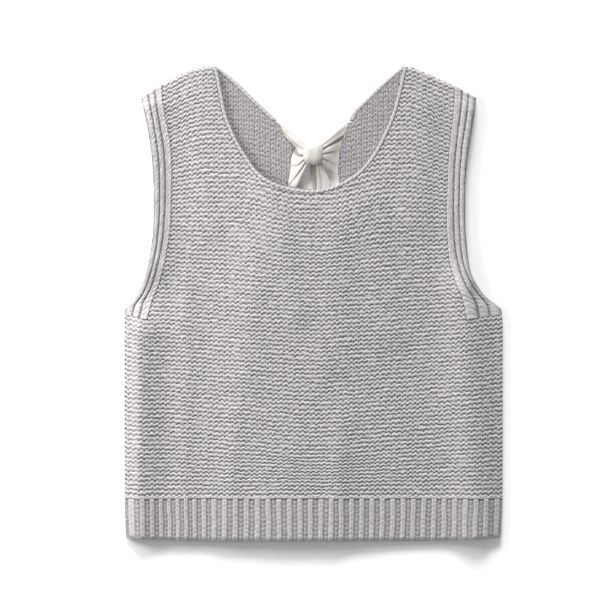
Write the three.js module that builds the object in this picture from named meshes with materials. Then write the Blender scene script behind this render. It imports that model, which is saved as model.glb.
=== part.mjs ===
// A sleeveless knitted vest laid flat on its back, closed at the centre back of the neck by a satin tie.
// Millimetres: X runs across the vest, Y from the hem to the neck, Z up from the surface that it lies on.
// The back panel lies flat at Z = 0, the front panel lies on it, and both are soft walls of one thickness.
import * as THREE from "three";

// Driving dimensions
const wall = 3; // thickness of the knit
const seam = 0.3; // gap between neighbouring pieces
const ribbon = 1; // thickness of the doubled satin
const hemTop = -215; // height where the rib meets the body
const underarm = -15; // height where the armhole bands end
const bandSlope = 6; // how much lower a band's inner corner ends than its outer one
const neckRim = 4; // width of the cast-off neck edge
const centreX = 1.7; // centre line of the neck and of the back slit
const slitFoot = -0.6; // lowest point of the back slit
const hemRibs = 37; // ribs across each hem
const hemLow = -261.5; // lowest point of the hem
const hemCurl = 4; // how much the hem rises at its corners
const halfWidth = 208;
const bandLean = 1.5; // how the steps along a band's outer edge gather towards the underarm
const edgeRoll = 1.3; // how much thinner the knit is at its rounded outer edge
const rollWidth = 4; // how far in that rounding starts
const liftFade = 18; // how far in from the outline the front starts to rise off the back

const frontBase = wall + seam; // underside of the front where it lies on the back

// Outer edge at each height: straight sides, then the armholes up to the shoulder tips.
const edgeRows = [
  { y: -262, left: -206.4, right: 206 },
  { y: -215, left: -207.8, right: 207.8 },
  { y: -106, left: -208, right: 208 },
  { y: -19, left: -208, right: 208 },
  { y: -7, left: -207.6, right: 206.6 },
  { y: -1, left: -201.5, right: 200 },
  { y: 5, left: -196.5, right: 192 },
  { y: 15, left: -190.9, right: 183.2 },
  { y: 37, left: -183.2, right: 172.2 },
  { y: 59, left: -178.8, right: 168.9 },
  { y: 92, left: -175.8, right: 166.7 },
  { y: 125, left: -175.8, right: 166.8 },
  { y: 158, left: -177.5, right: 169 },
  { y: 191, left: -182, right: 174 },
  { y: 226, left: -189.8, right: 179 },
];

// Line at each height where an armhole band is knitted on to the body.
const bandRows = [
  { y: -21, left: -184, right: 169 },
  { y: 5, left: -176.5, right: 163.5 },
  { y: 26, left: -168.5, right: 155 },
  { y: 53, left: -162, right: 148.8 },
  { y: 92, left: -157, right: 146.7 },
  { y: 147, left: -156, right: 148 },
  { y: 191, left: -159, right: 151.2 },
  { y: 243, left: -163.4, right: 152.4 },
];

// Shoulder fold, from each tip in to the neck point.
const shoulderRows = {
  left: [
    { x: -189.8, y: 226 },
    { x: -177.6, y: 234.9 },
    { x: -157.9, y: 246 },
    { x: -135.9, y: 256.5 },
    { x: -120, y: 260.6 },
    { x: -108.9, y: 261 },
  ],
  right: [
    { x: 179, y: 226 },
    { x: 163.4, y: 235.4 },
    { x: 139.2, y: 246.4 },
    { x: 116, y: 256.8 },
    { x: 107, y: 260.2 },
    { x: 100.1, y: 260.6 },
  ],
};

// Front neckline, from the left neck point down round the scoop to the right one.
const scoopRows = [
  { x: -108.9, y: 261 },
  { x: -105, y: 254.5 },
  { x: -100.7, y: 232.7 },
  { x: -95.2, y: 206.3 },
  { x: -85.3, y: 182.1 },
  { x: -73.7, y: 162.3 },
  { x: -61.1, y: 144.7 },
  { x: -42.9, y: 132.6 },
  { x: -20.4, y: 126.5 },
  { x: 1.7, y: 124.9 },
  { x: 20.4, y: 128.7 },
  { x: 36.8, y: 136.5 },
  { x: 52.3, y: 148 },
  { x: 66.6, y: 166.7 },
  { x: 77.6, y: 187.6 },
  { x: 86.4, y: 208.5 },
  { x: 93, y: 232.7 },
  { x: 97.8, y: 254.5 },
  { x: 100.1, y: 260.6 },
];

// Inner edge of the back at each height: the slit, its narrow place at the knot, then the V neck.
const slitRows = [
  { y: slitFoot, left: centreX, right: centreX },
  { y: 15, left: -11.5, right: 14 },
  { y: 46, left: -25, right: 25 },
  { y: 86, left: -30.8, right: 30.3 },
  { y: 120, left: -30.3, right: 28.6 },
  { y: 144, left: -28, right: 27.6 },
  { y: 167, left: -25.5, right: 29.2 },
  { y: 185, left: -32, right: 34.3 },
  { y: 198, left: -37.5, right: 38 },
  { y: 209, left: -48.5, right: 42.5 },
  { y: 224, left: -64.4, right: 56.7 },
  { y: 246, left: -87.5, right: 79.8 },
  { y: 261, left: -107.5, right: 98 },
];

// Soft folds of the front, each a ridge along a line, with its half width and its height.
const foldRows = [
  { fromX: -187, fromY: -34, toX: -189, toY: -275, width: 11, height: 2 },
  { fromX: -20, fromY: 90, toX: -30, toY: -300, width: 92, height: 2.7 },
  { fromX: -52, fromY: 135, toX: -18, toY: -10, width: 15, height: 0.8 },
  { fromX: 60, fromY: 110, toX: 84, toY: -30, width: 26, height: 0.7 },
  { fromX: 164, fromY: 10, toX: 178, toY: -275, width: 17, height: 2.2 },
  { fromX: -128, fromY: 220, toX: -120, toY: 90, width: 22, height: 1.5 },
  { fromX: 122, fromY: 215, toX: 112, toY: 95, width: 22, height: 1.5 },
  { fromX: -86, fromY: -120, toX: -96, toY: -275, width: 14, height: 0.6 },
  { fromX: 30, fromY: -130, toX: 22, toY: -275, width: 13, height: 0.6 },
];
const mostLift = 3.3; // the front never stands higher than this off the back

// Section of an armhole band from its outer edge in: a wide rolled wale, then two narrow ones.
const bandSection = [
  { across: 0, thick: 1.9 },
  { across: 0.07, thick: 3.1 },
  { across: 0.2, thick: 3.6 },
  { across: 0.31, thick: 3.2 },
  { across: 0.36, thick: 2.3 },
  { across: 0.42, thick: 3.2 },
  { across: 0.56, thick: 3.3 },
  { across: 0.62, thick: 2.3 },
  { across: 0.68, thick: 3.2 },
  { across: 0.84, thick: 3.3 },
  { across: 0.91, thick: 2.4 },
  { across: 1, thick: 2.9 },
];

// Share of the hem's width that the ribs fill, by count (y): they are closer together on the left.
const ribRows = [
  { y: 0, share: 0 },
  { y: 1, share: 0.034 },
  { y: 8.5, share: 0.21 },
  { y: 15.5, share: 0.409 },
  { y: 30.5, share: 0.819 },
  { y: 35.5, share: 0.957 },
  { y: hemRibs, share: 1 },
];

// Section of one hem rib, from one groove to the next.
const ribSection = [
  { across: 0.12, thick: 2.4 },
  { across: 0.28, thick: 3.4 },
  { across: 0.72, thick: 3.4 },
  { across: 0.88, thick: 2.4 },
];

// Section of a cast-off neck edge, from the opening out to the body.
const rimSection = [
  { across: 0, thick: 2 },
  { across: 0.25, thick: 3.4 },
  { across: 0.75, thick: 3.6 },
  { across: 1, thick: 2.6 },
];

const clamp01 = (v) => Math.min(1, Math.max(0, v));
const smooth = (v) => clamp01(v) ** 2 * (3 - 2 * clamp01(v));
const mix = (a, b, t) => a + (b - a) * t;
const mixPoint = (a, b, t) => new THREE.Vector2(mix(a.x, b.x, t), mix(a.y, b.y, t));
const steps = (count) => Array.from({ length: count + 1 }, (_, i) => i / count);

// A column of a table read at any height, as a smooth line that never swings past its rows.
function readRows(rows, column, y) {
  const last = rows.length - 1;
  if (y <= rows[0].y) return rows[0][column];
  if (y >= rows[last].y) return rows[last][column];
  const k = rows.findIndex((row, i) => i < last && y < rows[i + 1].y);
  const slope = (i) => (rows[i + 1][column] - rows[i][column]) / (rows[i + 1].y - rows[i].y);
  const bend = (i) => {
    if (i === 0) return slope(0);
    if (i === last) return slope(last - 1);
    const [before, after] = [slope(i - 1), slope(i)];
    return before * after <= 0 ? 0 : (2 * before * after) / (before + after);
  };
  const run = rows[k + 1].y - rows[k].y;
  const t = (y - rows[k].y) / run;
  const start = rows[k][column] * (1 + 2 * t) + bend(k) * run * t;
  const end = rows[k + 1][column] * (3 - 2 * t) - bend(k + 1) * run * (1 - t);
  return start * (1 - t) ** 2 + end * t ** 2;
}

const curveThrough = (rows) => new THREE.SplineCurve(rows.map((row) => new THREE.Vector2(row.x, row.y)));
const shoulder = { left: curveThrough(shoulderRows.left), right: curveThrough(shoulderRows.right) };
const scoop = curveThrough(scoopRows);

// The point of a curve, moved sideways: to the right of its direction for a positive distance.
function besideCurve(curve, t, distance) {
  const point = curve.getPointAt(t);
  const along = curve.getTangentAt(t);
  return new THREE.Vector2(point.x + along.y * distance, point.y - along.x * distance);
}

// Height of the shoulder fold above a place, for the rounding of the top edge.
function shoulderHeight(x) {
  const curve = x < centreX ? shoulder.left : shoulder.right;
  const rows = x < centreX ? shoulderRows.left : shoulderRows.right;
  const t = clamp01((x - rows[0].x) / (rows[rows.length - 1].x - rows[0].x));
  return curve.getPoint(t).y;
}

const hemFoot = (x) => hemLow + hemCurl * Math.abs(x / halfWidth) ** 5;

// How far a place lies inside the vest's outline.
function insideOutline(x, y) {
  const sides = Math.min(x - readRows(edgeRows, "left", y), readRows(edgeRows, "right", y) - x);
  return Math.max(0, Math.min(sides, shoulderHeight(x) - y, y - hemFoot(x)));
}

// How far the front stands off the back.
function frontLift(x, y) {
  const sides = Math.min(x - readRows(edgeRows, "left", y), readRows(edgeRows, "right", y) - x);
  const fade = smooth(Math.min(sides, shoulderHeight(x) - y) / liftFade);
  let lift = 0;
  for (const fold of foldRows) {
    const from = new THREE.Vector2(fold.fromX, fold.fromY);
    const line = new THREE.Vector2(fold.toX, fold.toY).sub(from);
    const place = new THREE.Vector2(x, y).sub(from);
    const nearest = line.clone().multiplyScalar(clamp01(place.dot(line) / line.lengthSq()));
    lift += fold.height * Math.exp(-((place.distanceTo(nearest) / fold.width) ** 2));
  }
  return fade * Math.min(lift, mostLift);
}

const rolled = (x, y) => edgeRoll * (1 - smooth(insideOutline(x, y) / rollWidth));
const frontUnder = (x, y) => frontBase + frontLift(x, y);

// A closed wall over a net of points. Cells with a missing corner are left open, and points that
// fall on one place are one point. lower and upper give the two heights from a place, its row and column.
function wallOver(net, lower, upper) {
  const positions = [];
  const known = new Map();
  const indexOf = (p, i, j) => {
    if (!p) return -1;
    const key = `${p.x.toFixed(3)} ${p.y.toFixed(3)}`;
    if (!known.has(key)) {
      known.set(key, positions.length / 3);
      positions.push(p.x, p.y, lower(p.x, p.y, i, j), p.x, p.y, upper(p.x, p.y, i, j));
    }
    return known.get(key);
  };
  const index = net.map((row, i) => row.map((p, j) => indexOf(p, i, j)));
  const cells = [];
  for (let i = 0; i + 1 < net.length; i++)
    for (let j = 0; j + 1 < net[i].length; j++) {
      const corners = [index[i][j], index[i][j + 1], index[i + 1][j + 1], index[i + 1][j]];
      if (corners.every((k) => k >= 0)) cells.push(corners);
    }
  const at = (k) => new THREE.Vector2(positions[3 * k], positions[3 * k + 1]);
  const area = ([a, b, c, d]) => at(c).sub(at(a)).cross(at(d).sub(at(b)));
  if (cells.reduce((sum, cell) => sum + area(cell), 0) < 0) cells.forEach((cell) => cell.reverse());
  const around = ([a, b, c, d]) => [[a, b], [b, c], [c, d], [d, a]];
  const edges = new Set(cells.flatMap((cell) => around(cell).map(([from, to]) => `${from} ${to}`)));
  const faces = [];
  for (const cell of cells) {
    const [a, b, c, d] = cell;
    faces.push(a + 1, b + 1, c + 1, a + 1, c + 1, d + 1, a, c, b, a, d, c);
    for (const [from, to] of around(cell))
      if (!edges.has(`${to} ${from}`)) faces.push(from + 1, from, to, from + 1, to, to + 1);
  }
  const geometry = new THREE.BufferGeometry();
  geometry.setAttribute("position", new THREE.Float32BufferAttribute(positions, 3));
  geometry.setIndex(faces);
  geometry.computeVertexNormals();
  return geometry;
}

// A net between four border curves, each read from 0 to 1.
function netBetween({ bottom, top, left, right }, across, up) {
  const spread = (axis, s, t) =>
    mix(bottom(s)[axis], top(s)[axis], t) +
    mix(left(t)[axis], right(t)[axis], s) -
    mix(mix(bottom(0)[axis], bottom(1)[axis], s), mix(top(0)[axis], top(1)[axis], s), t);
  return up.map((t) => across.map((s) => new THREE.Vector2(spread("x", s, t), spread("y", s, t))));
}

// A net between two curves that run side by side, at the given shares of the way across.
const netAlong = (first, second, across, along) =>
  along.map((t) => across.map((q) => mixPoint(first(t), second(t), q)));

const vest = new THREE.Group();
vest.name = "knitted_vest";
const colours = { body: 0xc3c0c0, rib: 0xbdbaba, inside: 0x9c9797, satin: 0xe4e0d8 };

function addPiece(name, geometry, colour, roughness = 0.95) {
  const material = new THREE.MeshStandardMaterial({ color: colours[colour], roughness, metalness: 0 });
  const mesh = new THREE.Mesh(geometry, material);
  mesh.name = name;
  vest.add(mesh);
}

const sides = ["left", "right"];
const outward = { left: -1, right: 1 };
const edgeAt = (side, y) => readRows(edgeRows, side, y);
const bodyFoot = underarm - bandSlope / 2 - seam; // the straight row at the foot of both bands
const bandShare = 0.31; // share of the shoulder fold, from its tip, that the band takes
const neckShare = 0.955; // share of the shoulder fold where the neck edge starts

// The body's edge beside a band, from the underarm up to the shoulder fold.
function besideBand(side, from) {
  const end = shoulder[side].getPointAt(bandShare);
  return (t) => {
    const y = mix(from, end.y, t);
    const x = readRows(bandRows, side, y) - outward[side] * seam;
    return new THREE.Vector2(mix(x, end.x, smooth(4 * t - 3)), y);
  };
}
const strapTop = (side, share) => shoulder[side].getPointAt(mix(bandShare, neckShare, share));

// Rows of a body below its armholes. They reach out to the sides, where the last row slants up.
const sideShares = { left: [0, 0.011, 0.026, 0.042], right: [0.93, 0.958, 0.978, 0.99, 1] };
function torsoRows(base, count) {
  const [first, last] = [base.find((p) => p), base.at(-1)];
  const shareOf = (p) => (p.x - edgeAt("left", p.y)) / (edgeAt("right", p.y) - edgeAt("left", p.y));
  const [from, to] = [shareOf(first), shareOf(last)];
  const shares = [...sideShares.left, ...base.map((p) => p && shareOf(p)), ...sideShares.right];
  return steps(count).map((t) =>
    shares.map((s) => {
      if (s === null) return null;
      const y = mix(hemTop + seam, bodyFoot, t);
      const outside = Math.max((from - s) / from, (s - to) / (1 - to), 0);
      return new THREE.Vector2(mix(edgeAt("left", y), edgeAt("right", y), s), y + t * bandSlope * outside);
    }),
  );
}
function bodyNet(upper, count) {
  const pad = (side) => sideShares[side].map(() => null);
  const padded = upper.slice(1).map((row) => [...pad("left"), ...row, ...pad("right")]);
  return [...torsoRows(upper[0], count), ...padded];
}

// Front body: its upper part hangs between the shoulder folds and the scoop.
const strapColumns = 6;
const scoopColumns = 22;
const frontColumns = 2 * strapColumns + scoopColumns;
function frontTop(s) {
  const k = Math.round(s * frontColumns);
  if (k < strapColumns) return strapTop("left", k / strapColumns);
  if (k > frontColumns - strapColumns) return strapTop("right", (frontColumns - k) / strapColumns);
  return besideCurve(scoop, (k - strapColumns) / scoopColumns, neckRim + seam);
}
function frontUpper() {
  const [left, right] = sides.map((side) => besideBand(side, bodyFoot));
  const bottom = (s) => mixPoint(left(0), right(0), s);
  return netBetween({ bottom, top: frontTop, left, right }, steps(frontColumns), steps(12));
}
const front = frontUpper();
addPiece(
  "front_body",
  wallOver(bodyNet(front, 7), frontUnder, (x, y) => frontUnder(x, y) + wall - rolled(x, y)),
  "body",
);

// Back body: a half on each side of the slit, over a plain lower part. A rim takes the V's edge.
const halfColumns = 8;
const neckTop = 261;
const rimFoot = 201; // where the V's cast-off rim ends above the satin
const rimAcross = 5.6; // the rim's width measured level, on a slope of about 45 degrees
const rimShare = (rimFoot - slitFoot) / (neckTop - slitFoot);
const justBelow = 0.004;
const slitSteps = steps(9).map((u) => u * (rimShare - justBelow));
const neckSteps = steps(4).map((u) => mix(rimShare, 1, u));
function backHalf(side) {
  const outer = besideBand(side, slitFoot);
  const inner = (t) => {
    const y = mix(slitFoot, neckTop, t);
    const room = t < rimShare ? 0 : rimAcross + seam;
    return new THREE.Vector2(readRows(slitRows, side, y) + outward[side] * room, y);
  };
  const bottom = (s) => mixPoint(outer(0), inner(0), s);
  const top = (s) => mixPoint(outer(1), inner(1), s);
  const up = [...slitSteps, ...neckSteps];
  return netBetween({ bottom, top, left: outer, right: inner }, steps(halfColumns), up);
}
const half = { left: backHalf("left"), right: backHalf("right") };
function backUpper() {
  const halves = half.left.map((row, i) => [...row, null, ...half.right[i].slice().reverse()]);
  const foot = sides.map((side) => besideBand(side, bodyFoot)(0));
  const share = (p) => (p.x - halves[0][0].x) / (halves[0].at(-1).x - halves[0][0].x);
  return [halves[0].map((p) => p && mixPoint(foot[0], foot[1], share(p))), ...halves];
}
const back = backUpper();
addPiece("back_body", wallOver(bodyNet(back, 7), rolled, () => wall), "inside");

// Hems: one rib after another across the foot of each panel, raised on the outer face alone.
function hemNet() {
  const shares = [0];
  for (let k = 0; k < hemRibs; k++)
    for (const { across } of ribSection) shares.push(readRows(ribRows, "share", k + across));
  shares.push(1);
  const width = (s, y) => mix(edgeAt("left", y), edgeAt("right", y), s);
  return [0, 0.1, 1].map((t) =>
    shares.map((s) => {
      const y = mix(hemFoot(width(s, hemTop)), hemTop, t);
      return new THREE.Vector2(width(s, y), y);
    }),
  );
}
const grooveThick = ribSection[0].thick;
const crestThick = ribSection[1].thick;
const ribThick = (j) => (j ? ribSection[(j - 1) % ribSection.length].thick : grooveThick);
const hem = hemNet();
const lastColumn = hem[0].length - 1;
const hemThick = (x, y, j) => (j === lastColumn ? grooveThick : ribThick(j)) - rolled(x, y) / 2;
const frontHemTop = (x, y, i, j) => frontUnder(x, y) + hemThick(x, y, j);
const backHemUnder = (x, y, i, j) => crestThick - hemThick(x, y, j);
addPiece("front_hem_rib", wallOver(hem, frontUnder, frontHemTop), "rib");
addPiece("back_hem_rib", wallOver(hem, backHemUnder, () => wall), "rib");

// Armhole bands: wales that run from the underarm to the shoulder fold, where front and back meet.
// A band's inner edge is made from the body's own edge points, moved out by the seam.
const bandCrest = Math.max(...bandSection.map((row) => row.thick));
const shoulderTuck = 1; // how much thinner a band is where it folds at the shoulder
function bandNet(side, body) {
  const inner = body.map((row) => (side === "left" ? row[0] : row.at(-1)).clone());
  inner.forEach((p) => p.setX(p.x + outward[side] * seam));
  inner[0].y += seam;
  const last = inner.length - 1;
  return inner.map((p, i) => {
    const y = mix(inner[0].y + bandSlope, shoulderRows[side][0].y, (i / last) ** bandLean);
    const outer = new THREE.Vector2(edgeAt(side, y), y);
    return bandSection.map(({ across }) => mixPoint(outer, p, across));
  });
}
for (const side of sides) {
  for (const [name, body] of [["front", front], ["back", back]]) {
    const thick = (i, j) => bandSection[j].thick - (i === body.length - 1 ? shoulderTuck : 0);
    const net = bandNet(side, body);
    const geometry =
      name === "front"
        ? wallOver(net, frontUnder, (x, y, i, j) => frontUnder(x, y) + thick(i, j))
        : wallOver(net, (x, y, i, j) => bandCrest - thick(i, j), () => wall);
    addPiece(`${name}_armhole_band_${side}`, geometry, "rib");
  }
}

// Cast-off rims: round the front scoop, and down each side of the back's V.
const rimShares = rimSection.map((row) => row.across);
const scoopEdge = (t) => besideCurve(scoop, t, 0);
const scoopBody = (t) => besideCurve(scoop, t, neckRim);
const rimTop = (x, y, i, j) => rimSection[j].thick;
addPiece(
  "front_neck_edge",
  wallOver(
    netAlong(scoopEdge, scoopBody, rimShares, steps(scoopColumns)),
    frontUnder,
    (x, y, i, j) => frontUnder(x, y) + rimTop(x, y, i, j),
  ),
  "rib",
);
const slitEdge = { left: half.left.map((row) => row.at(-1)), right: half.right.map((row) => row.at(-1)) };
for (const side of sides) {
  const beside = slitEdge[side].slice(-neckSteps.length);
  const net = beside.map((p, i) =>
    rimShares.map((q) => {
      const out = seam + (1 - q) * rimAcross;
      return new THREE.Vector2(p.x - outward[side] * out, p.y + (i ? 0 : seam));
    }),
  );
  const top = (x, y, i, j) => Math.min(rimTop(x, y, i, j), wall);
  addPiece(`back_neck_edge_${side}`, wallOver(net, () => 0, top), "inside");
}

// Satin tie: a ribbon sewn to each side of the slit and gathered in pleats towards the knot.
const knot = { x: centreX, y: 164.5, acrossX: 12, acrossY: 11, high: 10 };
const tieRows = {
  left: { sewnFrom: 104, sewnTo: 200, knotFrom: 238, knotTo: 132, pleats: 4 },
  right: { sewnFrom: 141.4, sewnTo: 200, knotFrom: -54, knotTo: 60, pleats: 4 },
};
const tieAtKnot = 3; // height of the satin's underside at the knot
const tieAtKnit = 0.9; // and where it is sewn on
const pleatHigh = 0.7;
const tieSteps = steps(18);
function aroundKnot(degrees, clear) {
  const a = THREE.MathUtils.degToRad(degrees);
  return new THREE.Vector2(
    knot.x + (knot.acrossX + clear) * Math.cos(a),
    knot.y + (knot.acrossY + clear) * Math.sin(a),
  );
}
// A place in the slit, beside the straight stretches of the back's own edge.
function besideSlit(side, y, clear) {
  const points = slitEdge[side];
  const k = points.findIndex((p, i) => y <= points[i + 1].y);
  const share = (y - points[k].y) / (points[k + 1].y - points[k].y);
  return new THREE.Vector2(mix(points[k].x, points[k + 1].x, share) - outward[side] * clear, y);
}
for (const side of sides) {
  const tie = tieRows[side];
  const gathered = (t) => aroundKnot(mix(tie.knotFrom, tie.knotTo, t), 2 * seam);
  const sewn = (t) => besideSlit(side, mix(tie.sewnFrom, tie.sewnTo, t), 1.5 * seam);
  const across = steps(6);
  const under = (x, y, i, j) =>
    mix(tieAtKnot, tieAtKnit, across[j]) + pleatHigh * Math.sin(2 * Math.PI * tie.pleats * tieSteps[i]);
  const over = (x, y, i, j) => under(x, y, i, j) + ribbon;
  const net = netAlong(gathered, sewn, across, tieSteps);
  addPiece(`satin_tie_${side}`, wallOver(net, under, over), "satin", 0.45);
}

// The knot: a soft squarish lump, creased where the ribbon wraps over it.
const knotShape = new THREE.SphereGeometry(1, 18, 12);
const spot = knotShape.getAttribute("position");
for (let i = 0; i < spot.count; i++) {
  const p = new THREE.Vector3().fromBufferAttribute(spot, i);
  const crease = 1 - 0.08 * Math.cos(5 * Math.atan2(p.z, p.x)) * (1 - p.y ** 2);
  const square = 1 - 0.05 * Math.abs(Math.abs(p.x) - Math.abs(p.y));
  p.multiplyScalar(Math.min(1, crease * square));
  spot.setXYZ(i, p.x * knot.acrossX, p.y * knot.acrossY, (p.z * knot.high) / 2);
}
knotShape.translate(knot.x, knot.y, knot.high / 2 + seam);
addPiece("tie_knot", knotShape, "satin", 0.45);

// The two free ends, from the knot down into the slit, one over the other.
const endRows = {
  upper: [
    { y: 153.6, x: 6.2, width: 6.5, under: 4.5 },
    { y: 128, x: 11.5, width: 15.4, under: 2 },
    { y: 86, x: 10.5, width: 16, under: 1.8 },
    { y: 46, x: 8.3, width: 16, under: 1.7 },
  ],
  lower: [
    { y: 153.5, x: -1.4, width: 5.5, under: 2.6 },
    { y: 128, x: 5.2, width: 12, under: 0.4 },
    { y: 86, x: -5, width: 14, under: 0.2 },
    { y: 52, x: -10, width: 14, under: 0.2 },
  ],
};
for (const [name, rows] of Object.entries(endRows)) {
  const upward = rows.slice().reverse();
  const read = (column, t) => readRows(upward, column, mix(upward[0].y, rows[0].y, t));
  const edge = (share) => (t) => {
    const y = mix(upward[0].y, rows[0].y, t);
    return new THREE.Vector2(read("x", t) + share * read("width", t), y);
  };
  const along = steps(12);
  const net = netAlong(edge(-0.5), edge(0.5), steps(2), along);
  const under = (x, y, i) => read("under", along[i]);
  addPiece(`tie_end_${name}`, wallOver(net, under, (x, y, i) => under(x, y, i) + ribbon), "satin", 0.45);
}

export default vest;
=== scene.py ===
import math
import bpy
import numpy as np
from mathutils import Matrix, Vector
from mathutils.geometry import delaunay_2d_cdt


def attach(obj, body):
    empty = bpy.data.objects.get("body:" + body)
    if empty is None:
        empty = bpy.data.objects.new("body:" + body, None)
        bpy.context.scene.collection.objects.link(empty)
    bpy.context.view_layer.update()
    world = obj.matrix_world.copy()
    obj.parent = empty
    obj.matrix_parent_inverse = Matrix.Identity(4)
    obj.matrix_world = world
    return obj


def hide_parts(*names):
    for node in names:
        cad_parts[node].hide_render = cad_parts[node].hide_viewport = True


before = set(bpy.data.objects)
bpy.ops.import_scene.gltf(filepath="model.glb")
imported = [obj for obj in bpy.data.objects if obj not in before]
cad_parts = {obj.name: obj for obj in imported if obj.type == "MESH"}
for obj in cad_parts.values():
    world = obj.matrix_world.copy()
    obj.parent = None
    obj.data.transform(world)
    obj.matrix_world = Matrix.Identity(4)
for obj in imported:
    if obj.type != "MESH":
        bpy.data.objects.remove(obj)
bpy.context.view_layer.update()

metre = 0.001  # one millimetre, in metres

# Camera, straight above as the picture was taken
camera = {
    "pixel": 1.1,  # millimetres of cloth that one pixel of the picture covers
    "pictureWidth": 613,
    "centre": (-7.7, -1.1),  # the place under the middle of the picture
    "height": 3000.0,
    "clothHeight": 6.0,  # height of the surface that the scale is true on
    "sensor": 36.0,
    "seesTo": 20.0,  # metres
}


def addObject(name, data):
    made = bpy.data.objects.new(name, data)
    bpy.context.scene.collection.objects.link(made)
    return made


def placeCamera(cfg):
    data = bpy.data.cameras.new("pictureCamera")
    data.type = "PERSP"
    data.sensor_width = cfg["sensor"]
    span = cfg["pixel"] * cfg["pictureWidth"]
    data.lens = cfg["sensor"] * (cfg["height"] - cfg["clothHeight"]) / span
    data.clip_end = cfg["seesTo"]
    holder = addObject("pictureCamera", data)
    x, y = cfg["centre"]
    holder.location = Vector((x, y, cfg["height"])) * metre
    bpy.context.scene.camera = holder


# Soft light from beyond the picture's top edge and its left, low enough to draw the stitches
studio = {
    "floorColour": (0.97, 0.97, 0.965, 1.0),
    "floorRoughness": 0.9,
    "floorSize": 6.0,  # metres, as all lengths of the studio
    "floorDrop": 0.0002,  # how far the floor lies below the cloth
    "worldColour": (1.0, 1.0, 1.0, 1.0),
    "worldStrength": 0.44,
    # turn is measured from the top of the picture towards its left, in degrees
    "topLamp": {"turn": 2, "height": 21, "spread": 24, "light": 0.535, "away": 2.0},
    "sideLamp": {"at": (-0.98, 0.4, 0.44), "size": 0.6, "light": 0.445},
}


def lightWorld(cfg):
    scene = bpy.context.scene
    scene.view_settings.view_transform = "Standard"  # keeps the paper white and the greys as measured
    world = bpy.data.worlds.new("studioWorld")
    world.use_nodes = True
    sky = world.node_tree.nodes["Background"]
    sky.inputs["Color"].default_value = cfg["worldColour"]
    sky.inputs["Strength"].default_value = cfg["worldStrength"]
    scene.world = world


# Each lamp's light is what it gives to the floor at the middle, whatever its angle
def placeLamps(cfg):
    top = cfg["topLamp"]
    turn, height = math.radians(top["turn"]), math.radians(top["height"])
    way = Vector((-math.sin(turn) * math.cos(height), math.cos(turn) * math.cos(height), math.sin(height)))
    sun = bpy.data.lights.new("topLamp", "SUN")
    sun.angle = math.radians(top["spread"])
    sun.energy = top["light"] * math.pi / way.z
    side = cfg["sideLamp"]
    place = Vector(side["at"])
    panel = bpy.data.lights.new("sideLamp", "AREA")
    panel.shape = "DISK"
    panel.size = side["size"]
    panel.energy = side["light"] * math.pi ** 2 * place.length ** 3 / place.z
    for data, at in ((sun, way * top["away"]), (panel, place)):
        holder = addObject(data.name, data)
        holder.location = at
        holder.rotation_euler = at.to_track_quat("Z", "Y").to_euler()


def layFloor(cfg):
    half = cfg["floorSize"] / 2
    corners = [(x * half, y * half, -cfg["floorDrop"]) for x, y in ((-1, -1), (1, -1), (1, 1), (-1, 1))]
    mesh = bpy.data.meshes.new("studioFloor")
    mesh.from_pydata(corners, [], [(0, 1, 2, 3)])
    floor = addObject("studioFloor", mesh)
    material = bpy.data.materials.new("paperFloor")
    material.use_nodes = True
    shader = material.node_tree.nodes["Principled BSDF"]
    shader.inputs["Base Color"].default_value = cfg["floorColour"]
    shader.inputs["Roughness"].default_value = cfg["floorRoughness"]
    mesh.materials.append(material)


placeCamera(camera)
lightWorld(studio)
placeLamps(studio)
layFloor(studio)
print("camera and studio ready")


# The cut of the vest, as in the frame: a row for each height or each point
cut = {
    "wall": 3.0,
    "seam": 0.3,  # room between neighbouring pieces
    "halfWidth": 208.0,
    "hemLow": -261.5,
    "hemCurl": 4.0,  # how much higher the hem's foot is at the side seams
    "hemTop": -215.0,
    "underarm": -15.0,
    "bandSlope": 6.0,
    "neckRim": 4.0,
    "centreX": 1.7,
    "slitFoot": -0.6,
    "neckTop": 261.0,
    "rimFoot": 201.0,
    "rimAcross": 5.6,
    "bandShare": 0.31,  # share of the shoulder, from its tip, that the band takes
    "mostLift": 4.2,
    "liftFade": 18.0,
    "liftGain": 2.4,  # how much fuller the dressed folds are than the plain ones
    "armholeRise": 45.0,  # height over which the front comes to stand off the back beside an armhole
}
cut["frontBase"] = cut["wall"] + cut["seam"]
cut["bodyFoot"] = cut["underarm"] - cut["bandSlope"] / 2 - cut["seam"]

# y, left, right
edgeRows = [
    (-262, -206.4, 206), (-215, -207.8, 207.8), (-106, -208, 208), (-19, -208, 208),
    (-7, -207.6, 206.6), (-1, -201.5, 200), (5, -196.5, 192), (15, -190.9, 183.2),
    (37, -183.2, 172.2), (59, -178.8, 168.9), (92, -175.8, 166.7), (125, -175.8, 166.8),
    (158, -177.5, 169), (191, -182, 174), (226, -189.8, 179),
]
bandRows = [
    (-21, -184, 169), (5, -176.5, 163.5), (26, -168.5, 155), (53, -162, 148.8),
    (92, -157, 146.7), (147, -156, 148), (191, -159, 151.2), (243, -163.4, 152.4),
]
slitRows = [
    (-0.6, 1.7, 1.7), (15, -11.5, 14), (46, -25, 25), (86, -30.8, 30.3), (120, -30.3, 28.6),
    (144, -26.5, 27.6), (160, -25, 28.6), (171.5, -21.8, 30), (185, -32, 34.3), (198, -37.5, 38),
    (209, -48.5, 42.5), (224, -64.4, 56.7), (246, -87.5, 79.8), (261, -107.5, 98),
]
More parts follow.
